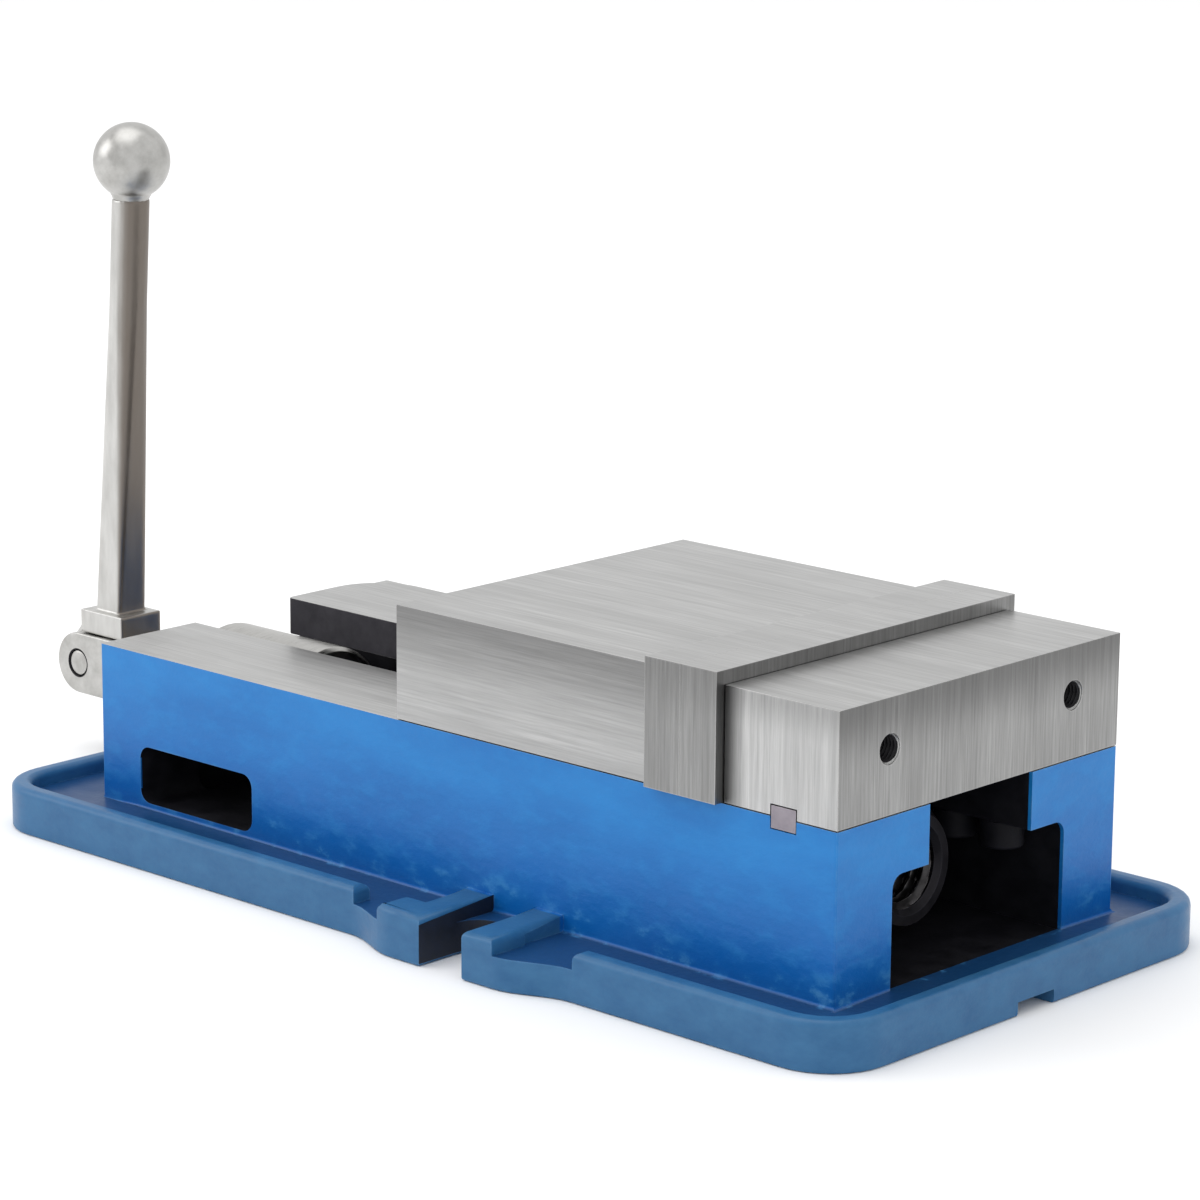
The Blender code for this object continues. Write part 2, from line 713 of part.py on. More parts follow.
def build_cage(look):
    """Flat cage whose rollers show as radial ribs on both faces."""
    inner = JOURNAL_RADIUS + 1.5 * MM
    cage = ring("thrust_roller_cage", PLACES["cage"] + 0.6 * MM, CAGE_WIDTH - 1.2 * MM,
                inner, CAGE_RADIUS, look)
    count = 12
    middle = PLACES["cage"] + CAGE_WIDTH / 2
    for index in range(count):
        angle = 2 * pi * index / count
        ends = []
        for radius in (inner + MM, CAGE_RADIUS - MM):
            ends.append((middle, radius * cos(angle), radius * sin(angle)))
        unite(cage, move(rod("roller", *ends, CAGE_WIDTH / 2, segments=8), (0, 0, SCREW_Z)))
    return cage


def build_lock_screw(look):
    length = SCREW_Z - HOUSING_RADIUS - 2 * GAP - LOCK_SCREW_Z
    screw = grub_screw("housing_lock_screw", LOCK_SCREW_RADIUS, length, look)
    return move(screw, (LOCK_SCREW_X, 0, LOCK_SCREW_Z), (0, -pi / 2, 0))


# ---------------------------------------------------------------- handle

def cross_pin_cutter():
    top = SCREW_Z + HUB_RADIUS + 5 * MM
    foot = SCREW_Z - HUB_RADIUS - 5 * MM
    return rod("cross_pin_cutter", (CROSS_PIN_X, 0, foot), (CROSS_PIN_X, 0, top),
               CROSS_PIN_RADIUS + GAP, segments=COARSE)


def build_hub(look):
    """Round boss on the screw's stub, with a fork that carries the pivot pin."""
    edge = 1.5 * MM
    inner = STUB_RADIUS + GAP
    profile = (
        (HUB_REAR, inner),
        (HUB_REAR, HUB_RADIUS - edge),
        (HUB_REAR + edge, HUB_RADIUS),
        (PLACES["hub"] - edge, HUB_RADIUS),
        (PLACES["hub"], HUB_RADIUS - edge),
        (PLACES["hub"], inner),
    )
    hub = turned("handle_hub", profile, look)
    hub.location.z = SCREW_Z
    outline = arc(PIN_X, SCREW_Z, FORK_RADIUS, 90, 270, 20)
    outline += [(HUB_REAR + 4 * MM, SCREW_Z - FORK_RADIUS), (HUB_REAR + 4 * MM, SCREW_Z + FORK_RADIUS)]
    unite(hub, prism("fork", outline, -FORK_WIDTH / 2, FORK_WIDTH / 2, axes="xzy"))
    half_slot = FORK_SLOT / 2
    slot_x = (PIN_X - 2 * FORK_RADIUS, PIN_X + FORK_FLOOR)
    cut(hub, box("fork_slot_cutter", slot_x, (-half_slot, half_slot), (0, 3 * SCREW_Z)))
    cut(hub, rod("stub_cutter", (STUB_REAR - GAP, 0, SCREW_Z), (PLACES["hub"] + MM, 0, SCREW_Z), inner))
    cut(hub, rod("pin_cutter", (PIN_X, -FORK_WIDTH, SCREW_Z), (PIN_X, FORK_WIDTH, SCREW_Z),
                 PIN_RADIUS + GAP))
    cut(hub, cross_pin_cutter())
    return hub


def lever_section(height, share):
    """Square section that turns into a circle as share goes from 0 to 1."""
    corner = LEVER_SQUARE / 2 * (0.16 + 0.84 * min(1, 1.3 * share))
    half = LEVER_SQUARE / 2 + (LEVER_TOP_RADIUS - LEVER_SQUARE / 2) * share
    shift = LEVER_FOOT_X + height * tan(LEVER_LEAN)
    corner = min(corner, half)
    outline = rounded((-half, half), (-half, half), [corner] * 4, steps=6)
    return [(shift + x, y, COLLAR_TOP + height) for x, y in outline]


def build_lever(look):
    """Tongue between the fork's cheeks, stop collar, tapering bar and spigot for the ball."""
    half = (FORK_SLOT - 2 * GAP) / 2
    neck = FORK_RADIUS
    tongue = [(PIN_X - neck, SCREW_Z - neck)]
    tongue += arc(PIN_X, SCREW_Z, neck, 270, 360, 8)
    tongue += [(PIN_X + neck, COLLAR_TOP - 3 * MM), (PIN_X - 1 * MM, COLLAR_TOP - 3 * MM)]
    tongue += [(PIN_X - neck, SCREW_Z + neck / 2)]
    lever = prism("handle_lever", tongue, -half, half, look, axes="xzy")

    collar_foot = SCREW_Z + FORK_RADIUS + GAP
    collar_half = COLLAR_BREADTH / 2
    unite(lever, box("collar", COLLAR_X, (-collar_half, collar_half), (collar_foot, COLLAR_TOP)))

    levels = 16
    bar_length = BALL_KNOB_HEIGHT - BALL_KNOB_RADIUS + 0.4 * MM
    points = []
    for level in range(levels + 1):
        share = level / levels
        points += lever_section(-2 * MM + share * (bar_length + 2 * MM), share)
    count = len(points) // (levels + 1)
    faces = [tuple(range(count)), tuple(range(levels * count, (levels + 1) * count))]
    for level in range(levels):
        for index in range(count):
            here = level * count
            following = (index + 1) % count
            faces.append((here + index, here + following, here + count + following, here + count + index))
    unite(lever, add_object("bar", mesh_from("bar", points, faces)))
    unite(lever, rod("spigot", lever_point(bar_length - 5 * MM), lever_point(bar_length + SPIGOT_LENGTH),
                     SPIGOT_RADIUS, segments=COARSE))
    cut(lever, rod("pin_cutter", (PIN_X, -FORK_WIDTH, SCREW_Z), (PIN_X, FORK_WIDTH, SCREW_Z),
                   PIN_RADIUS + GAP))
    return lever


def lever_point(height):
    return Vector((LEVER_FOOT_X + height * tan(LEVER_LEAN), 0, COLLAR_TOP + height))


def build_ball_knob(look):
    """Ball with a flat round the lever's end and a blind bore for its spigot."""
    steps = 16
    flat = BALL_KNOB_RADIUS - 0.8 * MM
    bore = SPIGOT_RADIUS + GAP
    bore_end = SPIGOT_LENGTH - flat + 1.5 * MM
    rim = asin(flat / BALL_KNOB_RADIUS)
    profile = [(bore_end, 0), (bore_end, bore), (-flat, bore)]
    for step in range(steps):
        angle = -rim + (rim + pi / 2) * step / steps
        profile.append((BALL_KNOB_RADIUS * sin(angle), BALL_KNOB_RADIUS * cos(angle)))
    profile.append((BALL_KNOB_RADIUS, 0))
    knob = turned("ball_knob", profile, look, PLAIN)
    along = lever_point(BALL_KNOB_HEIGHT) - lever_point(0)
    turn = Vector((1, 0, 0)).rotation_difference(along).to_matrix().to_4x4()
    knob.data.transform(turn)
    return move(knob, lever_point(BALL_KNOB_HEIGHT))


def build_pivot_pin(look):
    half = FORK_WIDTH / 2 - 0.2 * MM
    return rod("handle_pivot_pin", (PIN_X, -half, SCREW_Z), (PIN_X, half, SCREW_Z), PIN_RADIUS, look)


def build_cross_pin(look):
    half = HUB_RADIUS - 0.5 * MM
    return rod("hub_cross_pin", (CROSS_PIN_X, 0, SCREW_Z - half), (CROSS_PIN_X, 0, SCREW_Z + half),
               CROSS_PIN_RADIUS, look, COARSE)


# ---------------------------------------------------------------- assembly

def group(name, location, members):
    """Empty on a joint's axis that carries the pieces which move together."""
    axis = bpy.data.objects.new(name, None)
    axis.location = location
    bpy.context.scene.collection.objects.link(axis)
    for member in members:
        member.parent = axis
        member.matrix_parent_inverse = Matrix.Translation(location).inverted()
    return axis


def clear_scene():
    for existing in list(bpy.data.objects):
        bpy.data.objects.remove(existing)


def main():
    clear_scene()
    blue_paint = material("blue_paint", (0.03, 0.19, 0.55), 0.35, 0.0)
    ground_steel = material("ground_steel", (0.62, 0.61, 0.60), 0.32, 0.9)
    turned_steel = material("turned_steel", (0.50, 0.49, 0.47), 0.35, 0.9)
    satin_steel = material("satin_steel", (0.60, 0.58, 0.55), 0.30, 0.9)
    black_oxide = material("black_oxide", (0.03, 0.03, 0.035), 0.45, 0.6)
    grey_key = material("grey_key", (0.30, 0.30, 0.33), 0.5, 0.7)
    brass = material("brass", (0.65, 0.47, 0.20), 0.35, 0.9)

    build_bed(blue_paint)
    build_fixed_jaw(ground_steel)
    build_plate("fixed_jaw_plate", FIXED_PLATE_REAR, 1, ground_steel)
    build_plate_screws("fixed_plate_screw", FIXED_PLATE_REAR, 1, black_oxide)
    build_fixed_jaw_bolts(black_oxide)
    build_side_keys(grey_key)
    build_housing(turned_steel)
    build_lock_screw(black_oxide)
    ring("thrust_race_rear", PLACES["race_rear"], RACE_WIDTH, JOURNAL_RADIUS + GAP, RACE_RADIUS, turned_steel)

    jaw_pieces = [
        build_movable_jaw(ground_steel),
        build_plate("movable_jaw_plate", MOVABLE_PLATE_REAR, -1, ground_steel),
        build_nut(black_oxide),
        half_ball("lock_half_ball", BALL_RADIUS, 0, turned_steel),
        move(
            grub_screw("nut_adjusting_screw", ADJUSTER_RADIUS, ADJUSTER_LENGTH, black_oxide),
            (HOOK_X[0] - GAP - ADJUSTER_LENGTH, 0, ADJUSTER_Z),
        ),
    ]
    jaw_pieces += build_plate_screws("movable_plate_screw", MOVABLE_PLATE_REAR, -1, black_oxide)
    group("jaw_slide", (MOVABLE_JAW_REAR, 0, JAW_FOOT), jaw_pieces)

    screw_pieces = [
        build_lead_screw(turned_steel),
        ring("thrust_race_front", PLACES["race_front"], RACE_WIDTH, JOURNAL_RADIUS + GAP, RACE_RADIUS,
             turned_steel),
        ring("rear_thrust_washer", PLACES["washer"], WASHER_WIDTH, JOURNAL_RADIUS + GAP, COLLAR_RADIUS, brass),
        build_hub(satin_steel),
        build_cross_pin(turned_steel),
        build_pivot_pin(turned_steel),
    ]
    screw_axis = group("screw_turn", (PLACES["hub"], 0, SCREW_Z), screw_pieces)
    group("cage_turn", (PLACES["cage"], 0, SCREW_Z), [build_cage(brass)])

    fold_axis = group("handle_fold", (PIN_X, 0, SCREW_Z), [build_lever(satin_steel), build_ball_knob(satin_steel)])
    fold_axis.parent = screw_axis
    fold_axis.matrix_parent_inverse = Matrix.Translation(screw_axis.location).inverted()


main()
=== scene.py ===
"""Looks for the six-inch milling vise.

Every visible piece is rebuilt from its CAD node with softened edges, or made anew
where the CAD shape is only a stand-in, and gets a procedural finish. All sizes are
in metres, in the CAD frame: +X towards the fixed jaw, +Z up.
"""
import json
from math import acos, cos, pi, radians, sin

import bmesh
import bpy
from mathutils import Matrix, Quaternion, Vector

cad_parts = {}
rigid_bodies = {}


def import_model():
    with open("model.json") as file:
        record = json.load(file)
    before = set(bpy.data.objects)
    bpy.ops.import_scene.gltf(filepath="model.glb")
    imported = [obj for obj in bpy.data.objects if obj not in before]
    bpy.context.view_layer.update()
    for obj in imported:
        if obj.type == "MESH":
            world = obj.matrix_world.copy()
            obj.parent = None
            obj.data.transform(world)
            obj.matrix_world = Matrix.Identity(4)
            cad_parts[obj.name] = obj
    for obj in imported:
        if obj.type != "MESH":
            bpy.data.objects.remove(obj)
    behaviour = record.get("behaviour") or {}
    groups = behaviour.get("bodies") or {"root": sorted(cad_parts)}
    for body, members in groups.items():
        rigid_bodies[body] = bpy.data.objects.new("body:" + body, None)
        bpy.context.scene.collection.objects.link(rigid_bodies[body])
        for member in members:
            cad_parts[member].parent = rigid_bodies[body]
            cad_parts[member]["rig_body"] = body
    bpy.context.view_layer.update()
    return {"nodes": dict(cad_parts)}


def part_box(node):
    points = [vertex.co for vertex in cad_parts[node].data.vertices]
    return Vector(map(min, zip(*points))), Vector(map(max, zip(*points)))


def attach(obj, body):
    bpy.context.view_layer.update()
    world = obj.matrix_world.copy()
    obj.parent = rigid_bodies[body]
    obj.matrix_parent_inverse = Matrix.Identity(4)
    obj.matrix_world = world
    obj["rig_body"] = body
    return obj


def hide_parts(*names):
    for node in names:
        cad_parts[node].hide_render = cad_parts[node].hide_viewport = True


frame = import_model()

MM = 0.001
WELD = 0.002 * MM  # vertices closer than this are one
FLAT = radians(0.6)  # faces that meet at less are one flat face
SHARP = radians(28)  # edges that turn by more are drawn sharp

# Camera
AIM = Vector((11.7 * MM, 0, 108.9 * MM))
DISTANCE = 1.5498
AZIMUTH = radians(43.069)
ELEVATION = radians(13.219)
ROLL = radians(0.395)
LENS = 127.54
SENSOR = 36

# Thread of the lead screw and of the nut
LEAD = 5 * MM
SCREW_CREST = 14 * MM
SCREW_ROOT = 11.7 * MM
NUT_CREST = 12.1 * MM
NUT_ROOT = 14.6 * MM
NUT_THREAD = 36 * MM

# Crank
LEVER_LEAN = radians(3.7)
FORK_HALF = 12.5 * MM
COUNTERSINK = 6.8 * MM
PIN = Vector((-269.5 * MM, 0, 38 * MM))

# Places on the bed and the fixed jaw
BED_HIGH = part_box("bed")[1]
JAW_LOW, JAW_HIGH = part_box("fixed_jaw")
BOX_LENGTH = 368.5 * MM
BOX_HALF = JAW_HIGH.y
BOX_X = (JAW_HIGH.x - BOX_LENGTH, JAW_HIGH.x)
FLOOR = 12 * MM
RIM_TOP = 18 * MM
TUNNEL_HALF = 47 * MM
WINDOW_TOP = 37 * MM
WINDOW_FRONT = -93 * MM
SLOT_X = 43 * MM
SLOT_HALF = 10.7 * MM
JAW_BLOCK = 123.5 * MM  # length of the movable jaw ahead of its tail


# ---------------------------------------------------------------- node trees

def add(tree, kind, inputs=None, **settings):
    """New shader node. inputs takes numbers and colours to set, or sockets to link."""
    node = tree.nodes.new("ShaderNode" + kind)
    for key, value in settings.items():
        setattr(node, key, value)
    for key, value in (inputs or {}).items():
        if isinstance(value, bpy.types.NodeSocket):
            tree.links.new(value, node.inputs[key])
        else:
            node.inputs[key].default_value = value
    return node


def new_finish(name, metallic, **sockets):
    """Material with a Principled shader. Returns the material, its tree and its shader."""
    material = bpy.data.materials.new(name)
    material.use_nodes = True
    tree = material.node_tree
    shader = tree.nodes["Principled BSDF"]
    shader.inputs["Metallic"].default_value = metallic
    for socket, value in sockets.items():
        shader.inputs[socket.replace("_", " ")].default_value = value
    return material, tree, shader


def place(tree):
    return add(tree, "TexCoord").outputs["Object"]


def stretched(tree, scale):
    """Object coordinates scaled along each axis."""
    return add(tree, "Mapping", {"Vector": place(tree), "Scale": scale}).outputs["Vector"]


def noise(tree, vector, scale=1.0, detail=3.0, roughness=0.55):
    inputs = {"Vector": vector, "Scale": scale, "Detail": detail, "Roughness": roughness}
    return add(tree, "TexNoise", inputs).outputs["Fac"]


def span(tree, value, low, high, to_low=0.0, to_high=1.0, smooth=False):
    """Map value's range from low to high onto to_low to to_high, and clamp it."""
    inputs = {"Value": value, "From Min": low, "From Max": high, "To Min": to_low, "To Max": to_high}
    kind = "SMOOTHSTEP" if smooth else "LINEAR"
    return add(tree, "MapRange", inputs, interpolation_type=kind).outputs["Result"]


def maths(tree, operation, first, second):
    return add(tree, "Math", {0: first, 1: second}, operation=operation).outputs["Value"]


def blended(tree, share, first, second):
    """Colour that goes from first to second as share goes from 0 to 1."""
    node = add(tree, "Mix", {0: share}, data_type="RGBA")
    for socket, value in ((node.inputs[6], first), (node.inputs[7], second)):
        if isinstance(value, bpy.types.NodeSocket):
            tree.links.new(value, socket)
        else:
            socket.default_value = (*value, 1)
    return node.outputs[2]


def bumped(tree, height, distance, strength=1.0, below=None):
    inputs = {"Height": height, "Distance": distance, "Strength": strength}
    if below:
        inputs["Normal"] = below
    return add(tree, "Bump", inputs).outputs["Normal"]


def edge_mask(tree, radius):
    """1 on convex and concave edges, 0 on flat areas, found from the rounded normal."""
    rounded = add(tree, "Bevel", {"Radius": radius}, samples=4).outputs["Normal"]
    true = add(tree, "NewGeometry").outputs["Normal"]
    inputs = {0: rounded, 1: true}
    match = add(tree, "VectorMath", inputs, operation="DOT_PRODUCT").outputs["Value"]
    return span(tree, match, 0.995, 0.9)


# ---------------------------------------------------------------- finishes

def ground_finish(name, scale, dark, light, rough=(0.30, 0.46), painted_shade_bands=()):
    """Ground steel. scale is low along the grinding marks and high across them. Each band
    (axis, start, end, share) is painted shade: it darkens the steel by share before start, and not at all
    after end."""
    material, tree, shader = new_finish(name, 1.0)
    streaks = noise(tree, stretched(tree, scale), detail=5, roughness=0.66)
    hairs = noise(tree, stretched(tree, [2.6 * value for value in scale]), detail=4, roughness=0.7)
    broad = noise(tree, stretched(tree, [0.12 * value for value in scale]), detail=3)
    clouds = noise(tree, place(tree), scale=16, detail=4)
    coarse = maths(tree, "MULTIPLY", span(tree, streaks, 0.32, 0.68), 0.62)
    share = maths(tree, "ADD", coarse, maths(tree, "MULTIPLY", span(tree, hairs, 0.3, 0.7), 0.38))
    tone = blended(tree, share, dark, light)
    tone = blended(tree, span(tree, broad, 0.35, 0.65, 0.0, 0.4), tone, dark)
    tone = blended(tree, span(tree, clouds, 0.35, 0.65, 0.0, 0.3), tone, dark)
    tone = blended(tree, maths(tree, "MULTIPLY", edge_mask(tree, 0.7 * MM), 0.4), tone, (0.72, 0.72, 0.71))
    for axis, start, end, shade in painted_shade_bands:
        along = add(tree, "SeparateXYZ", {0: place(tree)}).outputs[axis]
        share = span(tree, along, start, end, shade, 0.0, smooth=True)
        tone = blended(tree, share, tone, (0.03, 0.03, 0.03))
    tree.links.new(tone, shader.inputs["Base Color"])
    tree.links.new(span(tree, hairs, 0.3, 0.7, *rough), shader.inputs["Roughness"])
    fine = bumped(tree, hairs, 0.012 * MM, 0.5)
    tree.links.new(bumped(tree, streaks, 0.03 * MM, 0.6, fine), shader.inputs["Normal"])
    return material


def paint_finish(name):
    """Semi-gloss blue paint over rough iron: bright on the box, greyer on the rim, darker in the trough as
    painted shade, and chipped along the foot of the box."""
    material, tree, shader = new_finish(name, 0.0, Specular_IOR_Level=0.3, Coat_Weight=0.08,
                                        Coat_Roughness=0.2)
    place_x, place_y, height = add(tree, "SeparateXYZ", {0: place(tree)}).outputs
    upward = add(tree, "SeparateXYZ", {0: add(tree, "NewGeometry").outputs["Normal"]}).outputs[2]
    broad = noise(tree, stretched(tree, (16, 16, 44)), detail=5)
    mottle = noise(tree, stretched(tree, (90, 90, 150)), detail=5, roughness=0.6)
    grain = noise(tree, place(tree), scale=480, detail=3)

    wall = blended(tree, span(tree, height, 16 * MM, 62 * MM), (0.001, 0.110, 0.430), (0.010, 0.200, 0.550))
    wall = blended(tree, span(tree, broad, 0.35, 0.65, 0.0, 0.55), wall, (0.002, 0.120, 0.410))
    wall = blended(tree, span(tree, mottle, 0.48, 0.72, 0.0, 0.45), wall, (0.020, 0.230, 0.580))
    rim = blended(tree, span(tree, mottle, 0.3, 0.7), (0.020, 0.108, 0.250), (0.036, 0.145, 0.300))
    half = BOX_HALF + 1.2 * MM
    sides = span(tree, maths(tree, "ABSOLUTE", place_y, 0), half + MM, half)
    front = span(tree, place_x, BOX_X[1] + 2.2 * MM, BOX_X[1] + 1.2 * MM)
    rear = span(tree, place_x, BOX_X[0] - 2.2 * MM, BOX_X[0] - 1.2 * MM)
    on_box = maths(tree, "MULTIPLY", maths(tree, "MULTIPLY", sides, front), rear)
    tone = blended(tree, on_box, rim, wall)
    # Painted shade: the up-facing trough floor low down is darkened.
    low_down = span(tree, height, 14.5 * MM, 12.5 * MM)
    trough = maths(tree, "MULTIPLY", span(tree, upward, 0.4, 0.95), low_down)
    tone = blended(tree, trough, tone, (0.008, 0.056, 0.165))
    chips = maths(tree, "MULTIPLY", span(tree, mottle, 0.55, 0.66), span(tree, broad, 0.42, 0.60))
    foot = maths(tree, "MULTIPLY", span(tree, height, 27 * MM, 14 * MM), on_box)
    tone = blended(tree, maths(tree, "MULTIPLY", chips, foot), tone, (0.06, 0.26, 0.56))
    # Lighter edges: partly worn paint, partly painted highlight.
    worn_and_highlit = maths(tree, "MULTIPLY", edge_mask(tree, 0.9 * MM), span(tree, mottle, 0.40, 0.62, 0.05, 0.5))
    tone = blended(tree, worn_and_highlit, tone, (0.12, 0.28, 0.50))
    tree.links.new(tone, shader.inputs["Base Color"])
    tree.links.new(span(tree, mottle, 0.3, 0.7, 0.30, 0.48), shader.inputs["Roughness"])
    skin = bumped(tree, grain, 0.06 * MM, 0.6)
    lumps = bumped(tree, mottle, 0.45 * MM, 0.7, skin)
    tree.links.new(bumped(tree, broad, 0.9 * MM, 0.4, lumps), shader.inputs["Normal"])
    return material


def plain_metal(name, dark, light, rough, metallic=1.0, grain=140, edge=(0.75, 0.74, 0.72), depth=0.04,
                scale=(1, 1, 1), shaded_toward_x=0.0):
    """Satin, turned, blackened or cast metal: two tones, uneven gloss, fine grain and bright edges.
    The faces towards +X can be darker than the others, as painted shade, by the share given last."""
    material, tree, shader = new_finish(name, metallic)
    vector = stretched(tree, scale)
    mottle = noise(tree, vector, scale=grain, detail=6, roughness=0.62)
    clouds = noise(tree, place(tree), scale=35, detail=3)
    speckle = noise(tree, vector, scale=6 * grain, detail=3)
    tone = blended(tree, span(tree, mottle, 0.32, 0.68), dark, light)
    tone = blended(tree, span(tree, clouds, 0.4, 0.7, 0.0, 0.3), tone, dark)
    if shaded_toward_x:
        # Painted shade on the faces towards +X.
        facing = add(tree, "SeparateXYZ", {0: add(tree, "TexCoord").outputs["Normal"]}).outputs[0]
        share = span(tree, facing, -0.05, 0.75, 0.0, shaded_toward_x, smooth=True)
        tone = blended(tree, share, tone, (0.12, 0.095, 0.075))
    tone = blended(tree, maths(tree, "MULTIPLY", edge_mask(tree, 0.5 * MM), 0.45), tone, edge)
    tree.links.new(tone, shader.inputs["Base Color"])
    tree.links.new(span(tree, mottle, 0.3, 0.7, *rough), shader.inputs["Roughness"])
    fine = bumped(tree, speckle, 0.25 * depth * MM, 0.5)
    tree.links.new(bumped(tree, mottle, depth * MM, 0.6, fine), shader.inputs["Normal"])
    return material


def tunnel_finish():
    """Near-black finish for the inside of the bed, as painted shade; the jaw bolts take it too."""
    material = plain_metal("dark_iron_and_painted_shade", (0.004, 0.004, 0.006), (0.012, 0.012, 0.016), (0.5, 0.75),
                           metallic=0.0, grain=90, edge=(0.02, 0.02, 0.03), depth=0.25)
    # Low specular keeps it darker still, as painted shade.
    material.node_tree.nodes["Principled BSDF"].inputs["Specular IOR Level"].default_value = 0.15
    return material


# Grinding marks along X, and upright ones
LONG = (24, 950, 950)
UPRIGHT = (950, 950, 24)

FINISH = {
    "paint": paint_finish("cast_blue_paint"),
    "casting": tunnel_finish(),
    # Near-black navy on the clamp slots' walls, as painted shade.
    "slot": plain_metal("slot_painted_shade", (0.002, 0.005, 0.014), (0.004, 0.011, 0.030), (0.5, 0.7),
                        metallic=0.0, edge=(0.02, 0.06, 0.14), depth=0.2),
    "top": ground_finish("ground_long", LONG, (0.33, 0.33, 0.328), (0.62, 0.62, 0.615)),
    "rail": ground_finish("ground_rail", LONG, (0.40, 0.40, 0.398), (0.68, 0.68, 0.675),
                          rough=(0.46, 0.6)),
    # Painted shade: the jaws' sides darken towards the top.
    "flank": ground_finish("ground_flank", LONG, (0.33, 0.33, 0.328), (0.60, 0.60, 0.595),
                           painted_shade_bands=((2, JAW_HIGH.z, JAW_HIGH.z - 26 * MM, 0.50),)),
    # Painted shade: the uprights darken towards the top, and the fixed jaw darkens towards the plates as
    # their painted shadow.
    "upright": ground_finish("ground_upright", UPRIGHT, (0.36, 0.36, 0.358), (0.66, 0.66, 0.655),
                             painted_shade_bands=((2, JAW_HIGH.z, JAW_HIGH.z - 14 * MM, 0.3),
                                    (0, JAW_LOW.x, JAW_LOW.x + 11 * MM, 0.75))),
    # A darker copy of the ground steel for the end faces, as painted shade, and darker still towards the
    # top.
    "end": ground_finish("ground_end_painted_shade", UPRIGHT, (0.21, 0.21, 0.208), (0.47, 0.47, 0.466),
                         painted_shade_bands=((2, JAW_HIGH.z, JAW_HIGH.z - 24 * MM, 0.5),)),
    # A darker copy of the ground steel for the plates and the movable jaw's uprights, as painted shade,
    # darker towards the top.
    "plate": ground_finish("ground_plate_painted_shade", UPRIGHT, (0.20, 0.20, 0.198), (0.42, 0.42, 0.416),
                           painted_shade_bands=((2, JAW_HIGH.z + 6 * MM, JAW_HIGH.z - 20 * MM, 0.3),)),
    "satin": plain_metal("satin_steel", (0.37, 0.365, 0.35), (0.55, 0.545, 0.53), (0.28, 0.42)),
    # The lever's faces towards +X carry painted shade.
    "lever": plain_metal("lever_steel", (0.46, 0.455, 0.44), (0.64, 0.635, 0.62), (0.32, 0.44),
                         shaded_toward_x=0.85, scale=(1, 1, 0.25)),
    "turned": plain_metal("turned_steel", (0.36, 0.355, 0.34), (0.52, 0.515, 0.50), (0.26, 0.42),
                          scale=(9, 1, 1)),
    "black": plain_metal("black_oxide", (0.005, 0.005, 0.006), (0.015, 0.014, 0.017), (0.45, 0.62),
                         metallic=0.6, edge=(0.05, 0.05, 0.06)),
    "key": plain_metal("grey_key", (0.26, 0.235, 0.265), (0.38, 0.345, 0.38), (0.42, 0.6),
                       edge=(0.5, 0.48, 0.5)),
    "brass": plain_metal("brass", (0.50, 0.34, 0.13), (0.66, 0.47, 0.20), (0.26, 0.42), scale=(9, 1, 1),
                         edge=(0.85, 0.68, 0.36)),
    "nut": plain_metal("nut_iron", (0.010, 0.009, 0.012), (0.028, 0.027, 0.033), (0.4, 0.65), metallic=0.7,
                       edge=(0.10, 0.10, 0.12), depth=0.12),
    "thread": plain_metal("cut_thread", (0.03, 0.029, 0.03), (0.09, 0.087, 0.09), (0.3, 0.5),
                          edge=(0.40, 0.39, 0.40)),
    "shadow": plain_metal("tail_painted_shadow", (0.020, 0.019, 0.024), (0.040, 0.038, 0.045), (0.35, 0.5),
                          metallic=0.8, edge=(0.4, 0.4, 0.4)),
}


# ---------------------------------------------------------------- mesh helpers

def node_shape(node, whole=True):
    """The CAD node's mesh with its vertices joined, and its flat faces whole unless told otherwise."""
    shape = bmesh.new()
    shape.from_mesh(frame["nodes"][node].data)
    bmesh.ops.remove_doubles(shape, verts=shape.verts, dist=WELD)
    if whole:
        bmesh.ops.dissolve_limit(shape, angle_limit=FLAT, verts=shape.verts, edges=shape.edges)
    return shape


def soften(shape, width, choose, segments=3):
    """Round the sharp edges that choose(middle, edge) picks."""
    edges = []
    for edge in shape.edges:
        if len(edge.link_faces) != 2 or edge.calc_face_angle(0) < SHARP:
            continue
        middle = (edge.verts[0].co + edge.verts[1].co) / 2
        if choose(middle, edge):
            edges.append(edge)
    bmesh.ops.bevel(shape, geom=edges, offset=width, offset_type="OFFSET", segments=segments, profile=0.5,
                    affect="EDGES", clamp_overlap=False)


def every(middle, edge):
    return True


def body_of(node):
    return frame["nodes"][node]["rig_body"]


def add_piece(name, shape, node, finishes, pick=None, stands_for=True):
    """Turn a bmesh into a piece that rides with a CAD node's body, and hide the node when the piece stands
    for it.
    """
    for face in shape.faces:
        face.smooth = True
        face.material_index = pick(face) if pick else 0
    mesh = bpy.data.meshes.new(name)
    shape.to_mesh(mesh)
    shape.free()
    for finish in finishes:
        mesh.materials.append(FINISH[finish])
    mesh.set_sharp_from_angle(angle=SHARP)
    made = bpy.data.objects.new(name, mesh)
    bpy.context.scene.collection.objects.link(made)
    weighted = made.modifiers.new("weighted", "WEIGHTED_NORMAL")
    weighted.keep_sharp = True
    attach(made, body_of(node))
    if stands_for:
        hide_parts(node)
    return made


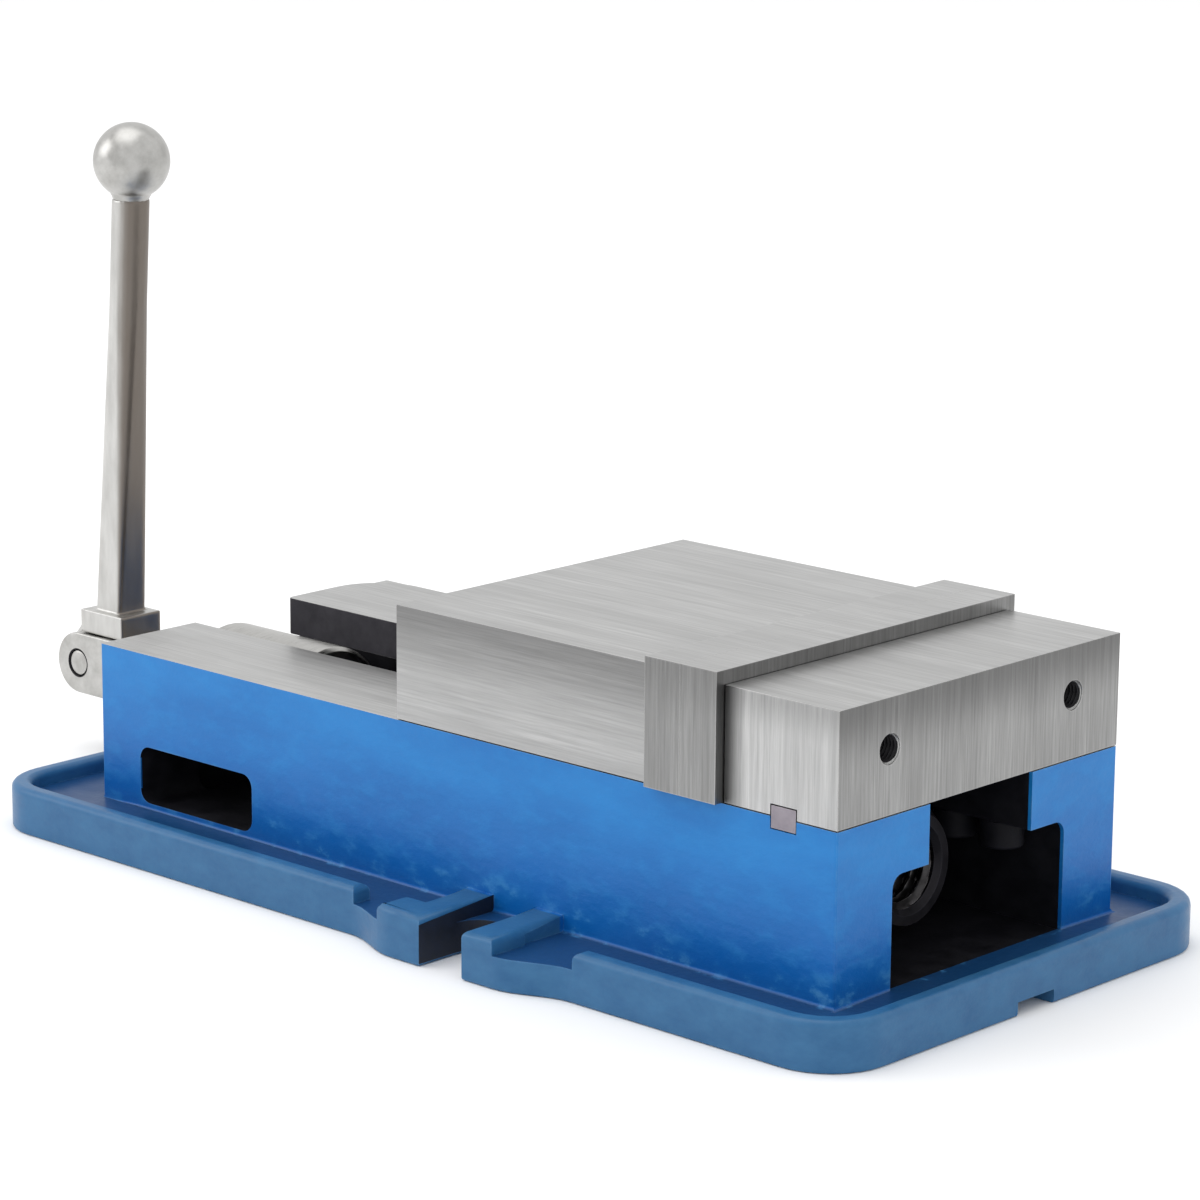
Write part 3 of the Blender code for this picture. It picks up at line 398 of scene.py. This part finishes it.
def lathe(rows, segments, matrix):
    """Surface round the local X axis. rows are (x, radius) or (x, function of the angle). Rows that
    start off the axis are closed into a ring."""
    shape = bmesh.new()
    rings = []
    for along, radius in rows:
        if radius == 0:
            rings.append([shape.verts.new(matrix @ Vector((along, 0, 0)))] * segments)
            continue
        ring = []
        for step in range(segments):
            angle = 2 * pi * step / segments
            reach = radius(angle) if callable(radius) else radius
            ring.append(shape.verts.new(matrix @ Vector((along, reach * cos(angle), reach * sin(angle)))))
        rings.append(ring)
    if rows[0][1] != 0:
        rings.append(rings[0])
    for here, there in zip(rings, rings[1:]):
        for step in range(segments):
            following = (step + 1) % segments
            corners = (here[step], here[following], there[following], there[step])
            corners = tuple(dict.fromkeys(corners))
            if len(corners) > 2:
                shape.faces.new(corners)
    bmesh.ops.recalc_face_normals(shape, faces=shape.faces)
    return shape


# ---------------------------------------------------------------- bed

def bed_pick(face):
    """0 paint, 1 ground rail top, 2 near-black inside as painted shade, 3 walls of the clamp slots, dark as
    painted shade.
    """
    middle = face.calc_center_median()
    across = abs(middle.y)
    if middle.z > BED_HIGH.z - 0.75 * MM and face.normal.z > 0.3:
        return 1
    within_box = BOX_X[0] + 0.9 * MM < middle.x < BOX_X[1] - 0.9 * MM
    tunnel = across < TUNNEL_HALF + 0.2 * MM and middle.z > FLOOR - MM
    beside_window = FLOOR < middle.z < WINDOW_TOP and middle.x < WINDOW_FRONT
    jamb = across < BOX_HALF - 0.9 * MM and beside_window
    if within_box and (tunnel or jamb):
        return 2
    slot = abs(middle.x - SLOT_X) < SLOT_HALF and across > 84 * MM and abs(face.normal.z) < 0.3
    return 3 if slot else 0


def split(shape, at, normal):
    """Cut all faces along a plane, so that each side can have a finish of its own."""
    everything = shape.verts[:] + shape.edges[:] + shape.faces[:]
    bmesh.ops.bisect_plane(shape, geom=everything, dist=0.01 * MM, plane_co=at, plane_no=normal)


def build_bed():
    """Casting with a round rim, a fillet at the foot of the box and light edges elsewhere."""
    shape = node_shape("bed")

    def rim(middle, edge):
        return abs(middle.z - RIM_TOP) < 0.1 * MM

    def box_edge(middle, edge):
        upright = abs(edge.verts[0].co.z - edge.verts[1].co.z) > 5 * MM
        return upright and middle.z > 20 * MM and abs(middle.y) > TUNNEL_HALF + MM

    def wall_foot(middle, edge):
        beside = abs(abs(middle.y) - BOX_HALF) < 0.1 * MM and abs(middle.x) < BOX_X[1]
        before = abs(middle.x - BOX_X[1]) < 0.1 * MM and abs(middle.y) < BOX_HALF
        return abs(middle.z - FLOOR) < 0.1 * MM and (beside or before)

    def sole(middle, edge):
        return middle.z < 0.1 * MM and (abs(middle.y) > 80 * MM or abs(middle.x) > 200 * MM)

    soften(shape, 2.8 * MM, rim, 5)
    soften(shape, 1.4 * MM, wall_foot, 4)
    soften(shape, 1.0 * MM, sole, 2)
    soften(shape, 0.7 * MM, box_edge, 2)
    for side in (-1, 1):
        split(shape, (0, side * TUNNEL_HALF, 0), (0, 1, 0))
    split(shape, (BOX_X[1] - 1.5 * MM, 0, 0), (1, 0, 0))
    split(shape, (BOX_X[0] + 20 * MM, 0, 0), (1, 0, 0))
    add_piece("bed_casting", shape, "bed", ("paint", "rail", "casting", "slot"), bed_pick)


build_bed()


# ---------------------------------------------------------------- jaws and plates

def ground_pick(face):
    """0 top, 1 along the sides, 2 upright, by the way the face looks."""
    size = [abs(value) for value in face.normal]
    if size[2] > 0.7:
        return 0
    return 1 if size[1] > size[0] else 2


def jaw_pick(face):
    """As ground_pick, with 3 for the tail, guide and pocket, darkened as painted shadow."""
    middle = face.calc_center_median()
    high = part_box("movable_jaw")[1]
    block_rear = high.x - JAW_BLOCK
    foot = JAW_LOW.z
    if middle.z < foot + 0.05 * MM and face.normal.z < -0.3 or middle.z < foot - 0.1 * MM:
        return 3
    if middle.x < block_rear - 0.3 * MM:
        return 0 if face.normal.z > 0.6 else 3
    deep = abs(middle.y) < 20 * MM and block_rear + MM < middle.x < high.x - MM and middle.z < high.z - MM
    if deep:
        return 3
    return ground_pick(face)


def build_jaws():
    """Both jaws and their plates. The plates' facing sides are moved almost together."""
    shape = node_shape("fixed_jaw")
    soften(shape, 0.35 * MM, every, 2)
    add_piece("fixed_jaw_block", shape, "fixed_jaw", ("top", "upright", "end"), ground_pick)
    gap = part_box("fixed_jaw_plate")[0].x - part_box("movable_jaw_plate")[1].x
    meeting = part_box("movable_jaw_plate")[1].x + gap / 2
    for node in ("fixed_jaw_plate", "movable_jaw_plate"):
        shape = node_shape(node)
        for vertex in shape.verts:
            if abs(vertex.co.x - meeting) < gap:
                vertex.co.x += 0.85 * (meeting - vertex.co.x)
        soften(shape, 0.08 * MM, every, 2)
        add_piece(node + "_ground", shape, node, ("top", "plate", "plate"), ground_pick)
    shape = node_shape("movable_jaw")
    soften(shape, 0.35 * MM, every, 2)
    add_piece("movable_jaw_block", shape, "movable_jaw", ("top", "flank", "plate", "shadow"), jaw_pick)


build_jaws()


# ---------------------------------------------------------------- lead screw and nut

def thread_share(along, angle):
    """0 at the middle of the screw's crest, 1 at the middle of its groove, left-handed."""
    turns = along / LEAD + angle / (2 * pi)
    return 2 * abs(turns % 1 - 0.5)


def flank(share, start, end, first, second):
    """first below start, second above end, and a straight line between them."""
    ratio = min(1, max(0, (share - start) / (end - start)))
    return first + ratio * (second - first)


def screw_radius(along, limit):
    """Outside of the screw's thread at a place along it, cut off at limit."""
    def radius(angle):
        return min(limit, flank(thread_share(along, angle), 0.30, 0.62, SCREW_CREST, SCREW_ROOT))
    return radius


def nut_radius(along, limit):
    """Inside of the nut's thread at a place along it, opened out to limit at the mouth."""
    def radius(angle):
        return max(limit, flank(thread_share(along, angle), 0.44, 0.78, NUT_ROOT, NUT_CREST))
    return radius


def axis_matrix():
    """From the X axis to the screw's axis."""
    low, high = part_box("lead_screw")
    return Matrix.Translation((0, 0, (low.z + high.z) / 2))


def build_lead_screw():
    """Stub, journal and collar, then the thread with a chamfered end."""
    low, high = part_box("lead_screw")
    collar_radius = (high.z - low.z) / 2
    hub_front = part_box("handle_hub")[1].x
    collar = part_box("thrust_race_front")[1].x + 0.3 * MM
    journal, stub, edge = 12.5 * MM, 9 * MM, 1.5 * MM
    chamfer = 3 * MM
    start, end = collar + 10 * MM, high.x
    rows = [(low.x, 0), (low.x, stub - edge), (low.x + edge, stub), (hub_front + 0.3 * MM, stub),
            (hub_front + 0.3 * MM, journal - 0.4 * MM), (hub_front + 0.7 * MM, journal),
            (collar, journal), (collar, collar_radius - 0.6 * MM), (collar + 0.6 * MM, collar_radius),
            (start - 0.6 * MM, collar_radius), (start, collar_radius - 0.6 * MM),
            (start, SCREW_ROOT), (start + chamfer, SCREW_ROOT)]
    step = 0.5 * MM
    count = int((end - start - chamfer) / step)
    for index in range(1, count + 1):
        along = start + chamfer + index * step
        rows.append((along, screw_radius(along, SCREW_CREST - max(0, along - (end - chamfer)))))
    rows.append((end, SCREW_CREST - chamfer))
    rows.append((end, 0))
    shape = lathe(rows, 48, axis_matrix())
    add_piece("lead_screw_threaded", shape, "lead_screw", ("turned",))


def build_nut():
    """Nut body, and a sleeve in its bore that carries the thread."""
    shape = node_shape("lock_down_nut")
    soften(shape, 0.6 * MM, lambda middle, edge: middle.z > 60 * MM, 3)
    add_piece("lock_down_nut_body", shape, "lock_down_nut", ("nut",))
    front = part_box("lock_down_nut")[1].x
    start, end = front - NUT_THREAD, front - 1.9 * MM
    shell = NUT_ROOT + 0.5 * MM
    mouth = NUT_ROOT + 2 * MM
    rows = [(end, shell), (start, shell)]
    step = 0.35 * MM
    count = int((end - start) / step)
    for index in range(count + 1):
        along = start + (end - start) * index / count
        rows.append((along, nut_radius(along, mouth - (front - along))))
    shape = lathe(rows, 72, axis_matrix())
    add_piece("lock_down_nut_thread", shape, "lock_down_nut", ("thread",), stands_for=False)


def build_work_stop_thread(side):
    """Thread in one of the holes in the fixed jaw's end, on the axis of the plate screw ahead of it."""
    low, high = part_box("fixed_plate_screw_" + side)
    pitch, crest, root, shell = 1.5 * MM, 4.5 * MM, 5.2 * MM, 5.5 * MM
    start, end = high.x + 4 * MM, JAW_HIGH.x - 0.6 * MM

    def radius_at(along):
        def radius(angle):
            turns = along / pitch - angle / (2 * pi)
            return max(flank(2 * abs(turns % 1 - 0.5), 0.15, 0.85, root, crest), root + along - end)
        return radius

    count = int((end - start) / (0.25 * MM))
    rows = [(end, shell), (start, shell)]
    for index in range(count + 1):
        along = start + (end - start) * index / count
        rows.append((along, radius_at(along)))
    middle = (low + high) / 2
    shape = lathe(rows, 48, Matrix.Translation((0, middle.y, middle.z)))

    def pick(face):
        return 0 if face.calc_center_median().x > end - 0.7 * MM else 1

    add_piece("fixed_jaw_thread_" + side, shape, "fixed_jaw", ("end", "black"), pick, stands_for=False)


build_lead_screw()
build_nut()
build_work_stop_thread("near")
build_work_stop_thread("far")


# ---------------------------------------------------------------- handle

def settle(made):
    """Apply an object's modifiers to its mesh."""
    graph = bpy.context.evaluated_depsgraph_get()
    mesh = bpy.data.meshes.new_from_object(made.evaluated_get(graph))
    made.modifiers.clear()
    made.data = mesh


def build_lever():
    """Forged lever: the CAD shape remeshed finely and smoothed, which fills its inner corners."""
    shape = node_shape("handle_lever")
    made = add_piece("handle_lever_forged", shape, "handle_lever", ("lever",))
    made.modifiers.clear()
    remesh = made.modifiers.new("remesh", "REMESH")
    remesh.mode = "VOXEL"
    remesh.voxel_size = 0.55 * MM
    remesh.use_smooth_shade = True
    smooth = made.modifiers.new("smooth", "SMOOTH")
    smooth.factor = 0.5
    smooth.iterations = 10
    settle(made)


def build_ball():
    """Ball on a short neck, with the bore that the lever's spigot fills."""
    low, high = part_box("ball_knob")
    radius = (high.y - low.y) / 2
    centre = (low + high) / 2
    bore, bore_end = 4.3 * MM, -2.1 * MM
    neck = 8.4 * MM
    start = -acos(neck / radius)
    foot = -radius + 0.1 * MM
    rows = [(bore_end, 0), (bore_end, bore), (foot, bore), (foot, 7.2 * MM), (foot + 0.5 * MM, 7.4 * MM),
            (foot + 1.2 * MM, 7.7 * MM)]
    steps = 48
    for step in range(steps):
        angle = start + (pi / 2 - start) * step / steps
        rows.append((radius * sin(angle), radius * cos(angle)))
    rows.append((radius, 0))
    turn = Vector((1, 0, 0)).rotation_difference(Vector((sin(LEVER_LEAN), 0, cos(LEVER_LEAN))))
    shape = lathe(rows, 96, Matrix.Translation(centre) @ turn.to_matrix().to_4x4())
    add_piece("ball_knob_turned", shape, "ball_knob", ("satin",))


def hub_pick(face):
    """0 fork and boss, 1 the countersink and bore round the pivot pin, black as painted shade."""
    offsets = [vertex.co - PIN for vertex in face.verts]
    return 1 if max(Vector((offset.x, offset.z)).length for offset in offsets) < COUNTERSINK else 0


def build_hub():
    """Boss and fork. Its flat faces stay in triangles, because the cheeks have holes in them."""
    shape = node_shape("handle_hub", whole=False)

    def cheek(middle, edge):
        return edge.is_convex and abs(abs(middle.y) - FORK_HALF) < 0.1 * MM

    soften(shape, 0.6 * MM, cheek, 3)
    add_piece("handle_hub_fork", shape, "handle_hub", ("satin", "black"), hub_pick)


build_lever()
build_ball()
build_hub()


# ---------------------------------------------------------------- smaller pieces

# Node to finish and edge width in mm
SMALL = {
    "fixed_jaw_key_near": ("key", 0.3), "fixed_jaw_key_far": ("key", 0.3),
    "screw_bearing_housing": ("turned", 0.3), "housing_lock_screw": ("black", 0.15),
    "thrust_race_rear": ("turned", 0.1), "thrust_race_front": ("turned", 0.1),
    "rear_thrust_washer": ("brass", 0.1), "thrust_roller_cage": ("brass", 0.05),
    "lock_half_ball": ("turned", 0.1), "nut_adjusting_screw": ("black", 0.15),
    "hub_cross_pin": ("turned", 0.3), "handle_pivot_pin": ("satin", 0.8),
}
for screw in sorted(frame["nodes"]):
    if "plate_screw" in screw:
        SMALL[screw] = ("black", 0.15)
    elif "jaw_bolt" in screw:
        SMALL[screw] = ("casting", 0.3)
for small, (finish, width) in SMALL.items():
    small_shape = node_shape(small)
    soften(small_shape, width * MM, every, 2)
    add_piece(small + "_piece", small_shape, small, (finish,))


# ---------------------------------------------------------------- floor, light and camera

def build_stage():
    material, _, shader = new_finish("pale_floor", 0.0)
    shader.inputs["Base Color"].default_value = (0.97, 0.97, 0.97, 1)
    shader.inputs["Roughness"].default_value = 0.9
    shape = bmesh.new()
    reach, depth = 12, -0.1 * MM
    signs = ((-1, -1), (1, -1), (1, 1), (-1, 1))
    shape.faces.new([shape.verts.new((x * reach, y * reach, depth)) for x, y in signs])
    mesh = bpy.data.meshes.new("floor")
    shape.to_mesh(mesh)
    shape.free()
    mesh.materials.append(material)
    floor = bpy.data.objects.new("floor", mesh)
    bpy.context.scene.collection.objects.link(floor)


def soft_light(name, location, size, power):
    light = bpy.data.lights.new(name, "AREA")
    light.shape = "SQUARE"
    light.size = size
    light.energy = power
    lamp = bpy.data.objects.new(name, light)
    bpy.context.scene.collection.objects.link(lamp)
    lamp.location = location
    lamp.rotation_euler = (AIM - Vector(location)).to_track_quat("-Z", "Y").to_euler()


def build_lights():
    world = bpy.data.worlds.new("studio")
    world.use_nodes = True
    world.node_tree.nodes["Background"].inputs["Color"].default_value = (1, 1, 1, 1)
    world.node_tree.nodes["Background"].inputs["Strength"].default_value = 1.0
    bpy.context.scene.world = world
    soft_light("softbox_top", (-0.5, -0.2, 2.4), 2.0, 16)
    soft_light("softbox_left", (-1.8, -1.3, 1.2), 1.2, 9)


def build_camera():
    back = Vector((sin(AZIMUTH) * cos(ELEVATION), -cos(AZIMUTH) * cos(ELEVATION), sin(ELEVATION)))
    data = bpy.data.cameras.new("camera")
    data.lens = LENS
    data.sensor_width = SENSOR
    camera = bpy.data.objects.new("camera", data)
    bpy.context.scene.collection.objects.link(camera)
    camera.location = AIM + DISTANCE * back
    camera.rotation_mode = "QUATERNION"
    camera.rotation_quaternion = back.to_track_quat("Z", "Y") @ Quaternion((0, 0, 1), ROLL)
    bpy.context.scene.camera = camera


build_stage()
build_lights()
build_camera()
bpy.context.scene.view_settings.view_transform = "Standard"
